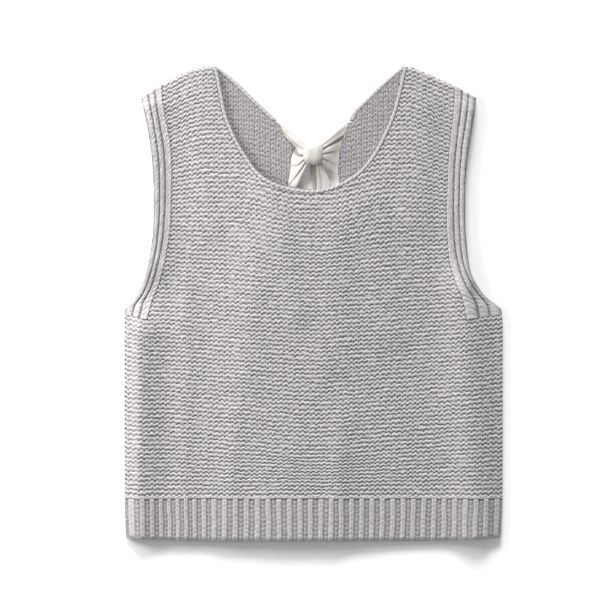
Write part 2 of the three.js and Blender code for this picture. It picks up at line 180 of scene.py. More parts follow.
# x, y
shoulderRows = {
    "left": [(-189.8, 226), (-177.6, 234.9), (-157.9, 246), (-135.9, 256.5), (-120, 260.6), (-108.9, 261)],
    "right": [(179, 226), (163.4, 235.4), (139.2, 246.4), (116, 256.8), (107, 260.2), (100.1, 260.6)],
}
scoopRows = [
    (-108.9, 261), (-105, 254.5), (-100.7, 232.7), (-95.2, 206.3), (-85.3, 182.1),
    (-73.7, 162.3), (-61.1, 144.7), (-42.9, 132.6), (-20.4, 126.5), (1.7, 124.9),
    (20.4, 128.7), (36.8, 136.5), (52.3, 148), (66.6, 166.7), (77.6, 187.6),
    (86.4, 208.5), (93, 232.7), (97.8, 254.5), (100.1, 260.6),
]
# Soft folds of the front: from x, from y, to x, to y, half width, height
foldRows = [
    (-194, -34, -195, -275, 25, 3.25),
    (-20, 90, -30, -300, 92, 2.7),
    (-52, 135, -18, -10, 15, 0.8),
    (60, 110, 84, -30, 26, 0.7),
    (166, 10, 180, -275, 22, 3.2),
    (-128, 220, -120, 90, 22, 0.6),
    (122, 215, 112, 95, 22, 0.6),
    (-180, 212, -172, 44, 20, 1.8),
    (172, 212, 171, 44, 20, 1.5),
    (-86, -120, -96, -275, 14, 0.7),
    (-140, 24, -143, -275, 12, 0.6),
    (30, -130, 22, -275, 13, 0.7),
    (-60, 60, -76, -80, 24, 0.8),
    (28, 90, 20, -60, 20, 0.7),
]
outward = {"left": -1, "right": 1}
sideColumn = {"left": 1, "right": 2}


def mix(a, b, t):
    return a + (b - a) * t


def smooth(v):
    v = np.clip(v, 0, 1)
    return v * v * (3 - 2 * v)


# A table's column, read at any height as a smooth line that never swings past its rows
def heightTrack(rows, column):
    table = np.array(rows, float)
    heights, values = table[:, 0], table[:, column]
    runs = np.diff(heights)
    slopes = np.diff(values) / runs
    bends = np.zeros(len(values))
    bends[0], bends[-1] = slopes[0], slopes[-1]
    before, after = slopes[:-1], slopes[1:]
    level = before * after <= 0
    total = np.where(level, 1, before + after)
    bends[1:-1] = np.where(level, 0, 2 * before * after / total)

    def read(y):
        y = np.clip(np.asarray(y, float), heights[0], heights[-1])
        k = np.clip(np.searchsorted(heights, y, "right") - 1, 0, len(runs) - 1)
        run = runs[k]
        t = (y - heights[k]) / run
        start = values[k] * (1 + 2 * t) + bends[k] * run * t
        end = values[k + 1] * (3 - 2 * t) - bends[k + 1] * run * (1 - t)
        return start * (1 - t) ** 2 + end * t ** 2

    return read


# Length walked along a line of points, up to each of them
def walkAlong(line):
    return np.concatenate([[0], np.cumsum(np.hypot(*np.diff(line, axis=0).T))])


# A smooth line through points, as many places evenly along it
def smoothLine(rows, count=1600):
    points = np.array(rows, float)
    last = len(points) - 1
    place = np.linspace(0, last, count)
    k = np.minimum(place.astype(int), last - 1)
    t = (place - k)[:, None]
    before, start = points[np.maximum(k - 1, 0)], points[k]
    end, after = points[k + 1], points[np.minimum(k + 2, last)]
    leave, arrive = (end - before) / 2, (after - start) / 2
    line = (
        (2 * start - 2 * end + leave + arrive) * t ** 3
        + (-3 * start + 3 * end - 2 * leave - arrive) * t ** 2
        + leave * t
        + start
    )
    walked = walkAlong(line)
    even = np.linspace(0, walked[-1], count)
    return np.stack([np.interp(even, walked, line[:, a]) for a in (0, 1)], 1)


# A line moved sideways, to the right of its direction
def besideLine(line, distance):
    way = np.gradient(line, axis=0)
    way /= np.hypot(*way.T)[:, None]
    return line + np.stack([way[:, 1], -way[:, 0]], 1) * distance


shoulderLine = {side: smoothLine(shoulderRows[side]) for side in outward}
scoopLine = smoothLine(scoopRows)
edgeTrack, bandTrack, slitTrack = (
    {side: heightTrack(rows, sideColumn[side]) for side in outward} for rows in (edgeRows, bandRows, slitRows)
)


def alongShoulder(side, share):
    line = shoulderLine[side]
    return line[int(round(share * (len(line) - 1)))]


# Height of the shoulder fold at a place across
def foldHeight(x):
    return np.interp(x, *np.concatenate([shoulderLine["left"], shoulderLine["right"][::-1]]).T)


def hemFoot(x):
    return cut["hemLow"] + cut["hemCurl"] * np.abs(x / cut["halfWidth"]) ** 5


def fromSides(x, y):
    return np.minimum(x - edgeTrack["left"](y), edgeTrack["right"](y) - x)


def frontLift(x, y):
    armhole = cut["liftFade"] * smooth(y / cut["armholeRise"])
    fade = smooth(np.minimum(fromSides(x, y) + armhole, foldHeight(x) - y) / cut["liftFade"])
    lift = np.zeros(np.shape(x))
    for fromX, fromY, toX, toY, width, height in foldRows:
        runX, runY = toX - fromX, toY - fromY
        share = np.clip(((x - fromX) * runX + (y - fromY) * runY) / (runX ** 2 + runY ** 2), 0, 1)
        away = np.hypot(x - fromX - runX * share, y - fromY - runY * share)
        lift = lift + height * np.exp(-((away / width) ** 2))
    return fade * cut["liftGain"] * np.minimum(lift, cut["mostLift"])


def frontUnder(x, y):
    return cut["frontBase"] + frontLift(x, y)


# The body's edge beside an armhole band, at a height
def besideBand(side, y):
    end = alongShoulder(side, cut["bandShare"])
    t = (y - cut["bodyFoot"]) / (end[1] - cut["bodyFoot"])
    x = bandTrack[side](y) - outward[side] * cut["seam"]
    return mix(x, end[0], smooth(4 * t - 3))


# Even, seeded unevenness from -1 to 1, as wide as size
def softNoise(x, y, size, seed):
    cells = 64
    table = np.random.default_rng(seed).uniform(-1, 1, (cells, cells))
    gx, gy = x / size, y / size
    ix, iy = np.floor(gx).astype(int), np.floor(gy).astype(int)
    fx, fy = smooth(gx - ix), smooth(gy - iy)

    def at(a, b):
        return table[a % cells, b % cells]

    low = mix(at(ix, iy), at(ix + 1, iy), fx)
    high = mix(at(ix, iy + 1), at(ix + 1, iy + 1), fx)
    return mix(low, high, fy)


# Triangles of a grid of vertex numbers, each cell cut along its deeper diagonal.
# A triangle with the same vertex twice falls out.
def gridFaces(index, height):
    a, b = index[:-1, :-1], index[:-1, 1:]
    d, c = index[1:, :-1], index[1:, 1:]
    deep = height[:-1, :-1] + height[1:, 1:] <= height[:-1, 1:] + height[1:, :-1]
    first = np.where(deep[..., None], np.stack([a, b, c], -1), np.stack([a, b, d], -1))
    second = np.where(deep[..., None], np.stack([a, c, d], -1), np.stack([b, c, d], -1))
    faces = np.concatenate([first.reshape(-1, 3), second.reshape(-1, 3)])
    x, y, z = faces.T
    return faces[(x != y) & (y != z) & (z != x)]


# The border of a set of triangles, as loops of vertex numbers
def borderLoops(faces):
    edges = np.concatenate([faces[:, [0, 1]], faces[:, [1, 2]], faces[:, [2, 0]]]).astype(np.int64)
    size = int(edges.max()) + 1
    keys, back = edges[:, 0] * size + edges[:, 1], edges[:, 1] * size + edges[:, 0]
    single = edges[~np.isin(keys, back)]
    following = dict(single.tolist())
    loops = []
    while following:
        start = next(iter(following))
        loop = [start]
        while True:
            k = following.pop(loop[-1])
            if k == start:
                break
            loop.append(k)
        loops.append(loop)
    return loops


def insideBorder(spots, ring):
    inside = np.zeros(len(spots), bool)
    for start, end in zip(ring, np.roll(ring, -1, axis=0)):
        crosses = (start[1] > spots[:, 1]) != (end[1] > spots[:, 1])
        rise = end[1] - start[1] or 1e-9
        inside ^= crosses & (spots[:, 0] < start[0] + (spots[:, 1] - start[1]) * (end[0] - start[0]) / rise)
    return inside


# Only the vertices that a face uses, with new numbers
def compact(faces, *columns):
    used, renamed = np.unique(faces, return_inverse=True)
    return (renamed.reshape(faces.shape), *[column[used] for column in columns])


def anticlockwise(faces, spots):
    a, b, c = (spots[faces[:, k]] for k in range(3))
    turn = (b[:, 0] - a[:, 0]) * (c[:, 1] - a[:, 1]) - (b[:, 1] - a[:, 1]) * (c[:, 0] - a[:, 0])
    return faces if turn.sum() > 0 else faces[:, ::-1]


plainDepth = 0.6  # how light the plain side of a sheet is, between groove and crest


# Walls from a loop of the fine border to its ring on the plain side
def wallsToRing(loop, kept, base):
    walls = []
    for n, k in enumerate(kept):
        end = kept[n + 1] if n + 1 < len(kept) else len(loop)
        chain = [loop[m % len(loop)] for m in range(k, end + 1)]
        here, there = base + n, base + (n + 1) % len(kept)
        middle = len(chain) // 2
        walls += [(chain[m + 1], chain[m], here) for m in range(middle)]
        walls.append((chain[middle], here, there))
        walls += [(chain[m + 1], chain[m], there) for m in range(middle, len(chain) - 1)]
    return walls


# Places spread evenly inside the rings, clear of them
def spreadInside(ringSpots, rings, low, high, spacing):
    across, along = (np.arange(low[k] + spacing / 2, high[k], spacing) for k in (0, 1))
    spread = np.stack([grid.ravel() for grid in np.meshgrid(across, along)], 1)
    keep = np.zeros(len(spread), bool)
    for ring in rings:
        keep ^= insideBorder(spread, ringSpots[ring])
    away = np.hypot(*(spread[:, None] - ringSpots[None]).transpose(2, 0, 1)).min(1)
    return spread[keep & (away > spacing / 3)]


# A closed sheet with one fine side. The plain side is joined to every sixth vertex of the border.
def plainBacked(faces, spots, fine, depth, under, faceUp=True, stride=6, spacing=15.0):
    faces, spots, fine, depth = compact(faces, spots, fine, depth)
    faces = anticlockwise(faces, spots)
    ringPlaces, walls, rings = [], [], []
    count = len(spots)
    for loop in borderLoops(faces):
        kept = list(range(0, len(loop), stride))
        if len(loop) - kept[-1] < stride / 2 and len(kept) > 3:
            kept.pop()
        rings.append(list(range(len(ringPlaces), len(ringPlaces) + len(kept))))
        walls += wallsToRing(loop, kept, count + len(ringPlaces))
        ringPlaces += [loop[k] for k in kept]
    ringSpots = spots[ringPlaces]
    extra = np.concatenate([ringSpots, spreadInside(ringSpots, rings, spots.min(0), spots.max(0), spacing)])
    # The rings are filled, and a place's first source is its own number
    made = delaunay_2d_cdt([Vector(place) for place in extra.tolist()], [], rings, 1, 1e-6)
    original = [source[0] for source in made[3]]
    plain = np.array([[original[k] for k in face] for face in made[2]])
    allSpots = np.concatenate([spots, extra])
    plain = anticlockwise(plain + count, allSpots)[:, ::-1]
    places = np.column_stack([allSpots, np.concatenate([fine, under(extra[:, 0], extra[:, 1])])])
    faces = np.concatenate([faces, np.array(walls), plain])
    if not faceUp:
        faces = faces[:, ::-1]
    return places, faces, np.concatenate([depth, np.full(len(extra), plainDepth)])


# A closed sheet with both sides fine, on one set of places
def twoFaced(faces, spots, top, bottom, topDepth, bottomDepth):
    columns = (spots, top, bottom, topDepth, bottomDepth)
    faces, spots, top, bottom, topDepth, bottomDepth = compact(faces, *columns)
    faces = anticlockwise(faces, spots)
    count = len(spots)
    walls = []
    for loop in borderLoops(faces):
        for k, start in enumerate(loop):
            end = loop[(k + 1) % len(loop)]
            walls += [(end, start, start + count), (end, start + count, end + count)]
    places = np.concatenate([np.column_stack([spots, top]), np.column_stack([spots, bottom])])
    faces = np.concatenate([faces, faces[:, ::-1] + count, np.array(walls)])
    return places, faces, np.concatenate([topDepth, bottomDepth])


def addCloth(name, made, material, nodes, joint=()):
    places, faces, depth = made
    mesh = bpy.data.meshes.new(name)
    mesh.from_pydata((places * metre).tolist(), [], faces.tolist())
    if len(joint):
        known = {(round(x, 3), round(y, 3)) for x, y in joint}
        onJoint = np.array([(round(x, 3), round(y, 3)) in known for x, y in places[:, :2].tolist()])
        ends = np.empty(2 * len(mesh.edges), int)
        mesh.edges.foreach_get("vertices", ends)
        mesh.edges.foreach_set("use_edge_sharp", onJoint[ends.reshape(-1, 2)].all(1))
    # the depth attribute carries the painted groove and crease shade to the material
    mesh.attributes.new("depth", "FLOAT", "POINT").data.foreach_set("value", depth.astype(np.float32))
    mesh.shade_smooth()
    mesh.materials.append(material)
    piece = addObject(name, mesh)
    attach(piece, "root")
    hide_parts(*nodes)
    print(name, len(faces), "triangles")
    return piece


# Materials: the yarns and the satin share one shader group, which paints shade into the grooves and creases
def shaderGroup(name, inputs, outputs):
    group = bpy.data.node_groups.new(name, "ShaderNodeTree")
    for socket, kind, value in inputs:
        made = group.interface.new_socket(name=socket, in_out="INPUT", socket_type=kind)
        made.default_value = value
    for socket, kind in outputs:
        group.interface.new_socket(name=socket, in_out="OUTPUT", socket_type=kind)
    nodes = group.nodes
    return group, nodes.new("NodeGroupInput"), nodes.new("NodeGroupOutput")


def noiseNode(tree, vector, scale, detail):
    node = tree.nodes.new("ShaderNodeTexNoise")
    node.inputs["Scale"].default_value = scale
    node.inputs["Detail"].default_value = detail
    tree.links.new(vector, node.inputs["Vector"])
    return node.outputs["Fac"]


def mathNode(tree, operation, *values):
    node = tree.nodes.new("ShaderNodeMath")
    node.operation = operation
    for socket, value in zip(node.inputs, values):
        if isinstance(value, (int, float)):
            socket.default_value = value
        else:
            tree.links.new(value, socket)
    return node.outputs["Value"]


def mixColour(tree, kind, factor, first, second):
    node = tree.nodes.new("ShaderNodeMix")
    node.data_type = "RGBA"
    node.blend_type = kind
    for name, value in (("Factor_Float", factor), ("A_Color", first), ("B_Color", second)):
        socket = next(s for s in node.inputs if s.identifier == name)
        if hasattr(value, "links"):
            tree.links.new(value, socket)
        else:
            socket.default_value = value
    return next(s for s in node.outputs if s.identifier == "Result_Color")


melange = {
    "fibreScale": 1500, "fibreDetail": 3, "fibreShare": 0.6,
    "blotchScale": 420, "blotchDetail": 2, "blotchShare": 0.4,
    "contrast": 4.0,
    "fuzzHeight": 0.0006,  # metres
}


def makeYarnGroup(cfg):
    group, given, out = shaderGroup(
        "melangeYarn",
        [
            ("Depth", "NodeSocketFloat", 1.0),
            ("Crest", "NodeSocketColor", (0.6, 0.6, 0.6, 1)),
            ("Groove", "NodeSocketColor", (0.2, 0.2, 0.2, 1)),
            ("Mottle", "NodeSocketFloat", 0.2),
            ("Fuzz", "NodeSocketFloat", 0.5),
        ],
        [("Colour", "NodeSocketColor"), ("Normal", "NodeSocketVector")],
    )
    link = group.links.new
    place = group.nodes.new("ShaderNodeTexCoord").outputs["Object"]
    fibres = noiseNode(group, place, cfg["fibreScale"], cfg["fibreDetail"])
    blotches = noiseNode(group, place, cfg["blotchScale"], cfg["blotchDetail"])
    # painted shade: the colour falls from the crest colour to the darker groove colour as the depth attribute
    # goes into a groove or crease
    base = mixColour(group, "MIX", given.outputs["Depth"], given.outputs["Groove"], given.outputs["Crest"])
    fine = mathNode(group, "MULTIPLY", fibres, cfg["fibreShare"])
    speckle = mathNode(group, "ADD", fine, mathNode(group, "MULTIPLY", blotches, cfg["blotchShare"]))
    lighter = mathNode(group, "MULTIPLY", mathNode(group, "SUBTRACT", speckle, 0.5), given.outputs["Mottle"])
    gain = mathNode(group, "ADD", mathNode(group, "MULTIPLY", lighter, cfg["contrast"]), 1.0)
    tint = group.nodes.new("ShaderNodeCombineColor")
    for socket in tint.inputs[:3]:
        link(gain, socket)
    link(mixColour(group, "MULTIPLY", 1.0, base, tint.outputs["Color"]), out.inputs["Colour"])
    bump = group.nodes.new("ShaderNodeBump")
    bump.inputs["Distance"].default_value = cfg["fuzzHeight"]
    link(given.outputs["Fuzz"], bump.inputs["Strength"])
    link(speckle, bump.inputs["Height"])
    link(bump.outputs["Normal"], out.inputs["Normal"])
    return group


yarnGroup = makeYarnGroup(melange)


def clothMaterial(cfg):
    material = bpy.data.materials.new(cfg["name"])
    material.use_nodes = True
    tree = material.node_tree
    shader = tree.nodes["Principled BSDF"]
    shader.inputs["Roughness"].default_value = cfg["roughness"]
    shader.inputs["Specular IOR Level"].default_value = cfg["gloss"]
    shader.inputs["Sheen Weight"].default_value = cfg["sheen"]
    shader.inputs["Sheen Roughness"].default_value = cfg["sheenRoughness"]
    yarn = tree.nodes.new("ShaderNodeGroup")
    yarn.node_tree = yarnGroup
    for socket in ("Crest", "Groove", "Mottle", "Fuzz"):
        yarn.inputs[socket].default_value = cfg[socket.lower()]
    depth = tree.nodes.new("ShaderNodeAttribute")
    depth.attribute_name = "depth"
    tree.links.new(depth.outputs["Fac"], yarn.inputs["Depth"])
    tree.links.new(yarn.outputs["Colour"], shader.inputs["Base Color"])
    tree.links.new(yarn.outputs["Normal"], shader.inputs["Normal"])
    return material


bodyYarn = {
    "name": "bodyYarn",
    "roughness": 0.95, "gloss": 0.15,
    "crest": (0.49, 0.471, 0.475, 1),
    # groove: painted shade, the colour of the knit where its grooves lie in shade
    "groove": (0.138, 0.127, 0.13, 1),
    "mottle": 0.3, "fuzz": 0.5, "sheen": 0.06, "sheenRoughness": 0.6,
}
ribYarn = {**bodyYarn, "name": "ribYarn", "crest": (0.466, 0.447, 0.451, 1)}
satinCloth = {
    "name": "satinCloth",
    "roughness": 0.45, "gloss": 0.4,
    "crest": (0.54, 0.514, 0.478, 1),
    # groove: painted shade, the colour of the satin where its creases lie in shade
    "groove": (0.178, 0.16, 0.138, 1),
    "mottle": 0.03, "fuzz": 0.04, "sheen": 0.1, "sheenRoughness": 0.6,
}
bodyMaterial = clothMaterial(bodyYarn)
ribMaterial = clothMaterial(ribYarn)
tieMaterial = clothMaterial(satinCloth)
print("helpers and materials ready")


# Knit of the body: a stitch is four places across and five up
knit = {
    "across": 5.9, "perAcross": 4, "perUp": 5,
    "lowerRows": 40, "upperRows": 55,
    "farColumn": 143,  # places across from the middle to beyond the sides
    "noiseRows": 512,  # more than there are places up
    # purl side: heights of the zigzag groove and of the ridge over it
    "groove": 1.35, "crest": 0.45,
    "ridge": [-0.2, 0.35, 0.45, 0.0],
    "zigzag": [1, 0, -1, 0],  # places up that the groove moves, across a stitch
    "straight": -0.76,  # it runs straight where a seeded number from -1 to 1 is less
    "dots": (1.0, 0.32),  # share of its depth at every second place, and between
    "dotDepth": 0.9, "dotUneven": 0.55, "uneven": 0.3,
    "darkest": 0.85,  # share of the groove's depth where its painted shade is darkest
    "footHeight": 0.15,  # the lowest that the purl is beside the hem, so no groove falls there
    # knit side: the legs of each V, and the wave's start on them
    "legs": [-0.62, 0.2, -0.4, 0.2],
    "lag": [0.55, 0.275, 0, 0.275],
    "legWave": 0.3, "legUneven": 0.32,
    # how the rows run, with shares of the height of a panel
    "sag": 11.0,  # how much lower a row hangs at the middle of the front than at the underarms
    "sagReach": 166.0, "sagPower": 1.15,
    "sagGrows": (0, 0.35),  # from, over
    "sagEnds": (0.08, 0.5),
    "neckDip": 13.0,  # how much lower still a row hangs under the scoop
    "neckReach": 55.0,
    "neckDipEnds": (0.1, 0.44),
    "tilt": (0.3, 0.6),  # the rows come to run along the shoulder
    "foldLevel": 252.0,
    # seeded wander of the stitches, with its sizes across and up
    "drift": 0.7,
    "driftSize": (13, 11),
    "driftFade": 7.0,
    # the outer edges of a panel roll down
    "roll": 1.3, "rollReach": 4.0,
}
columnGap = knit["across"] / knit["perAcross"]
centreColumn = int(round(cut["centreX"] / columnGap))


# From 0 to 1 while the share goes from start, over run
def risen(share, span):
    start, run = span
    return smooth((share - start) / run)


# Rows of the front hang lower towards the middle
def rowSag(x):
    away = np.minimum(np.abs(x - cut["centreX"]) / knit["sagReach"], 1)
    return -knit["sag"] * (1 - away ** knit["sagPower"])


def lowerRowHeight(share, x):
    y = mix(cut["hemTop"] + cut["seam"], cut["bodyFoot"], share)
    out = 0
    for side in outward:
        foot, reach = besideBand(side, cut["bodyFoot"]), edgeTrack[side](cut["bodyFoot"])
        out = np.maximum(out, (x - foot) / (reach - foot))
    return y + share * cut["bandSlope"] * np.minimum(out, 1) + rowSag(x) * risen(share, knit["sagGrows"])


def upperRowHeight(share, x):
    level = mix(cut["bodyFoot"], knit["foldLevel"], share) + rowSag(x) * (1 - risen(share, knit["sagEnds"]))
    dip = knit["neckDip"] * np.exp(-((np.abs(x - cut["centreX"]) / knit["neckReach"]) ** 3))
    tilt = (foldHeight(x) - knit["foldLevel"]) * risen(share, knit["tilt"])
    return level + tilt - dip * risen(share, knit["neckDipEnds"])


# Vertices of a knit panel: a row for each height, cut off at its outer and inner borders.
# Where a row meets a border is found in rounds, from a first guess.
meeting = {"rounds": 24, "outerGuess": 150.0, "innerGuess": 60.0}


def knitPanel(cfg):
    rowHeight = cfg["rowHeight"]
    shares = np.linspace(0, 1, cfg["rows"] * knit["perUp"] + 1)
    columns = np.arange(-knit["farColumn"], knit["farColumn"] + 1)
    cutAt = int(np.where(columns == centreColumn)[0][0])
    columns = np.insert(columns, cutAt, centreColumn)
    x = columns * columnGap

    def meet(border, start):
        at = np.full(len(shares), start)
        for _ in range(meeting["rounds"]):
            at = border(rowHeight(shares, at))
        return at

    centre = columns[cutAt] * columnGap
    limits = {side: meet(cfg["outer"][side], outward[side] * meeting["outerGuess"]) for side in outward}
    isOpen = rowHeight(shares, centre) > cfg["openFrom"]
    gaps = {}
    for side in outward:
        met = meet(cfg["inner"][side], outward[side] * meeting["innerGuess"]) if isOpen.any() else centre
        gaps[side] = np.where(isOpen, met, centre)
    spotX = np.empty((len(shares), len(x)))
    index = np.empty((len(shares), len(x)), int)
    order = np.arange(len(x))
    for i in range(len(shares)):
        for low, high, part in (
            (limits["left"][i], gaps["left"][i], slice(0, cutAt + 1)),
            (gaps["right"][i], limits["right"][i], slice(cutAt + 1, len(x))),
        ):
            xs = x[part]
            first = max(int(np.searchsorted(xs, low, "right")) - 1, 0)
            last = min(int(np.searchsorted(xs, high, "left")), len(xs) - 1)
            clipped = np.clip(xs, low, high)
            clipped[first], clipped[last] = low, high
            spotX[i, part] = clipped
            index[i, part] = i * len(x) + np.clip(order[part], order[part][first], order[part][last])
        if not isOpen[i]:
            index[i, cutAt + 1] = index[i, cutAt]
    return spotX, rowHeight(shares[:, None], spotX), index, columns, cutAt


def panelFaces(index, height, cutAt):
    left = gridFaces(index[:, : cutAt + 1], height[:, : cutAt + 1])
    return np.concatenate([left, gridFaces(index[:, cutAt + 1 :], height[:, cutAt + 1 :])])


# Seeded differences between stitches, the same in the row where two panels join
def stitchNoise(rows, columns, seed):
    table = np.random.default_rng(seed).uniform(-1, 1, (knit["noiseRows"], 2 * knit["farColumn"] + 1))
    return table[rows[:, None], columns[None, :] + knit["farColumn"]]


# Height of the purl side: wavy ridges between zigzag grooves
def purlHeight(rows, columns, seed):
    place = columns[None, :] % knit["perAcross"]
    groove = (rows + knit["perUp"] // 2) // knit["perUp"]
    zigzags = stitchNoise(groove, columns, seed + 200) > knit["straight"]
    shift = np.array(knit["zigzag"])[place] * zigzags
    turn = (rows[:, None] - shift) % knit["perUp"]
    shape = np.array([-knit["groove"], *knit["ridge"]])[turn]
    dots = np.where(place % 2 == 0, *knit["dots"])
    dots = dots * (knit["dotDepth"] + knit["dotUneven"] * stitchNoise(rows, columns, seed))
    shape = np.where(turn == 0, shape * dots, shape)
    return shape + knit["uneven"] * stitchNoise(rows, columns, seed + 100)


# Height of the knit side: columns of V stitches
def plainHeight(rows, columns, seed):
    place = columns[None, :] % knit["perAcross"]
    legs, lag = np.array(knit["legs"])[place], np.array(knit["lag"])[place]
    wave = knit["legWave"] * np.cos(2 * math.pi * (rows[:, None] / knit["perUp"] + lag))
    return legs + wave + knit["legUneven"] * stitchNoise(rows, columns, seed)


# Painted groove shade for the colour: from 0 in a groove, darkest, to 1 on a crest
def grooveShadeTone(height):
    dark = knit["groove"] * knit["darkest"]
    return np.clip((height + dark) / (dark + knit["crest"]), 0, 1)


def insideOutline(x, y):
    return np.maximum(0, np.minimum(np.minimum(fromSides(x, y), foldHeight(x) - y), y - hemFoot(x)))


# How far the sheet is rolled down at a place
def rolled(x, y):
    return knit["roll"] * (1 - smooth(insideOutline(x, y) / knit["rollReach"]))


# Soft wander of the stitches, dying out at the borders
def wander(x, y, room):
    far = smooth(room / knit["driftFade"]) * knit["drift"]
    across, up = knit["driftSize"]
    return x + far * softNoise(x, y, across, 11), y + far * softNoise(x, y, up, 12)


# Borders of the panels: x at a height, for each side
def bandBorder(side):
    return lambda y: besideBand(side, y)


scoopBody = besideLine(scoopLine, cut["neckRim"] + cut["seam"])
scoopFoot = int(scoopBody[:, 1].argmin())
scoopBorder = {
    "left": lambda y: np.interp(y, scoopBody[scoopFoot::-1, 1], scoopBody[scoopFoot::-1, 0]),
    "right": lambda y: np.interp(y, scoopBody[scoopFoot:, 1], scoopBody[scoopFoot:, 0]),
}


def slitBorder(side):
    room = cut["rimAcross"] + cut["seam"]
    return lambda y: slitTrack[side](y) + outward[side] * np.where(y > cut["rimFoot"], room, 0)


# Plain inside of a back piece, and the surface under the vest
def backTop(x, y):
    return cut["wall"] + 0 * x


def tableTop(x, y):
    return 0 * x


def makePanel(cfg):
    x, y, index, columns, cutAt = knitPanel(cfg)
    rows = np.arange(x.shape[0]) + cfg["firstRow"]
    room = np.minimum(np.minimum(x - x.min(1, keepdims=True), x.max(1, keepdims=True) - x), foldHeight(x) - y)
    if cfg["openFrom"] < math.inf:
        opened = np.abs(x - x[:, cutAt : cutAt + 1]), np.abs(x - x[:, cutAt + 1 : cutAt + 2])
        room = np.minimum(room, np.minimum(*opened))
    x, y = wander(x, y, np.maximum(room, 0))
    purl = purlHeight(rows, columns, cfg["seed"])
    if cfg["firstRow"] == 0:
        purl[:2] = np.maximum(purl[:2], knit["footHeight"])
    spots = np.stack([x.ravel(), y.ravel()], 1)
    if cfg["faces"] == "up":
        top = cfg["under"](x, y) + cut["wall"] - rolled(x, y) + purl
        faces = panelFaces(index, top, cutAt)
        made = plainBacked(faces, spots, top.ravel(), grooveShadeTone(purl).ravel(), cfg["under"])
    elif cfg["faces"] == "down":
        low = np.maximum(rolled(x, y) - purl + cfg["sunk"], 0)
        faces = panelFaces(index, -low, cutAt)
        made = plainBacked(faces, spots, low.ravel(), grooveShadeTone(purl).ravel(), backTop, faceUp=False)
    else:
        plain = plainHeight(rows, columns, cfg["seed"] + 1)
        top = cut["wall"] + plain - cfg["sunk"]
        low = np.maximum(rolled(x, y) - cfg["purlShare"] * purl + cfg["sunk"], 0)
        faces = panelFaces(index, top, cutAt)
        # the inside of the back is darkened further, as painted shade inside the vest
        depths = cfg["insideShade"] * grooveShadeTone(plain).ravel(), grooveShadeTone(purl).ravel()
        made = twoFaced(faces, spots, top.ravel(), low.ravel(), *depths)
    joint = spots.reshape(*x.shape, 2)[-1 if cfg["firstRow"] == 0 else 0]
    return addCloth(cfg["name"], made, bodyMaterial, cfg["nodes"], joint.tolist())


frontLower = {
    "name": "front_lower",
    "rows": knit["lowerRows"],
    "firstRow": 0,
    "rowHeight": lowerRowHeight,
    "outer": edgeTrack,
    "inner": {},
    "openFrom": math.inf,  # height above which the panel has an opening at its middle
    "under": frontUnder,
    "faces": "up",
    "seed": 21,
    "nodes": ["front_body"],
    "flat": (0.416, 0.199),  # metres, and square metres for the area that was knitted
    "area": 0.0817,
    "restsOn": ["back_lower"],
}
frontUpper = {
    **frontLower,
    "name": "front_upper",
    "rows": knit["upperRows"],
    "firstRow": knit["lowerRows"] * knit["perUp"],
    "rowHeight": upperRowHeight,
    "outer": {side: bandBorder(side) for side in outward},
    "inner": scoopBorder,
    "openFrom": float(scoopBody[scoopFoot, 1]),
    "flat": (0.356, 0.279),
    "area": 0.0642,
    "restsOn": ["back_upper"],
}
backLower = {
    **frontLower,
    "name": "back_lower",
    "faces": "down",
    "sunk": 0.35,
    "seed": 23,
    "nodes": ["back_body"],
    "restsOn": ["studioFloor"],
}
backUpper = {
    **frontUpper,
    "name": "back_upper",
    "inner": {side: slitBorder(side) for side in outward},
    "openFrom": cut["slitFoot"],
    "faces": "both",
    "sunk": 0.2,
    "purlShare": 0.6,  # the hidden outer side is lower
    "insideShade": 0.8,  # and the inside a little darker, as painted shade inside the vest
    "seed": 23,
    "nodes": ["back_body"],
    "area": 0.0675,
    "restsOn": ["studioFloor"],
}
for panel in (frontLower, frontUpper, backLower, backUpper):
    panel["piece"] = makePanel(panel)
print("body panels ready")


# Places across from one line to another beside it
def strip(first, second, across):
    share = np.asarray(across)[None, :, None]
    return mix(first[:, None, :], second[:, None, :], share)


def stripMade(net, top, depth, under, faceUp=True, spacing=12.0):
    index = np.arange(top.size).reshape(top.shape)
    faces = gridFaces(index, top if faceUp else -top)
    return plainBacked(faces, net.reshape(-1, 2), top.ravel(), depth.ravel(), under, faceUp, spacing=spacing)


# A ribbed strip of the front, over its folds, or of the back, with its ribs down
def ribStrip(face, net, shape, depth, roll, sunk):
    if face == "front":
        top = frontUnder(net[..., 0], net[..., 1]) + cut["wall"] - roll + shape
        return stripMade(net, top, depth, frontUnder)
    return stripMade(net, np.maximum(roll - shape + sunk, 0), depth, backTop, faceUp=False)


# Hems: 1 by 1 rib, each raised rib of two legs, with a sunk purl column between
hem = {
    "ribs": 37, "places": 10, "rows": 38,
    # rib and share of the width: they are a little closer together on the left
    "spread": [(0, 0), (1, 0.034), (8.5, 0.21), (15.5, 0.409), (30.5, 0.819), (35.5, 0.957), (37, 1)],
    "shape": [-0.25, -0.4, -0.75, 0.0, 0.55, -0.05, 0.55, 0.0, -0.75, -0.4],
    "legReach": 0.35,  # share of a rib's width, from its middle, that is raised
    "stitch": 4.9, "lean": 1.3,
    "wave": (0.1, 0.2),  # on the raised rib, and on the purl column
    "uneven": 0.22,
    "drift": 0.5,
    "driftSize": 16,
    "sideShare": 0.05,  # share of the width over which the drift dies out
    "foot": {"height": 3.5, "shape": 0.3, "depth": 0.9},  # the ribs run out in a plain cast-on edge
    "sunk": 0.4,
    "flat": (0.416, 0.0465),
    "area": 0.019,
}


def ribHeight(columns, y, seed):
    place = columns % hem["places"]
    base = np.array(hem["shape"])[place][None, :]
    fromMiddle = np.abs(place - hem["places"] // 2)[None, :] / hem["places"]
    wave = np.cos(2 * math.pi * (y / hem["stitch"] + hem["lean"] * fromMiddle))
    wave = wave * np.where(fromMiddle < hem["legReach"], *hem["wave"])
    return base + wave + hem["uneven"] * np.random.default_rng(seed).uniform(-1, 1, wave.shape)


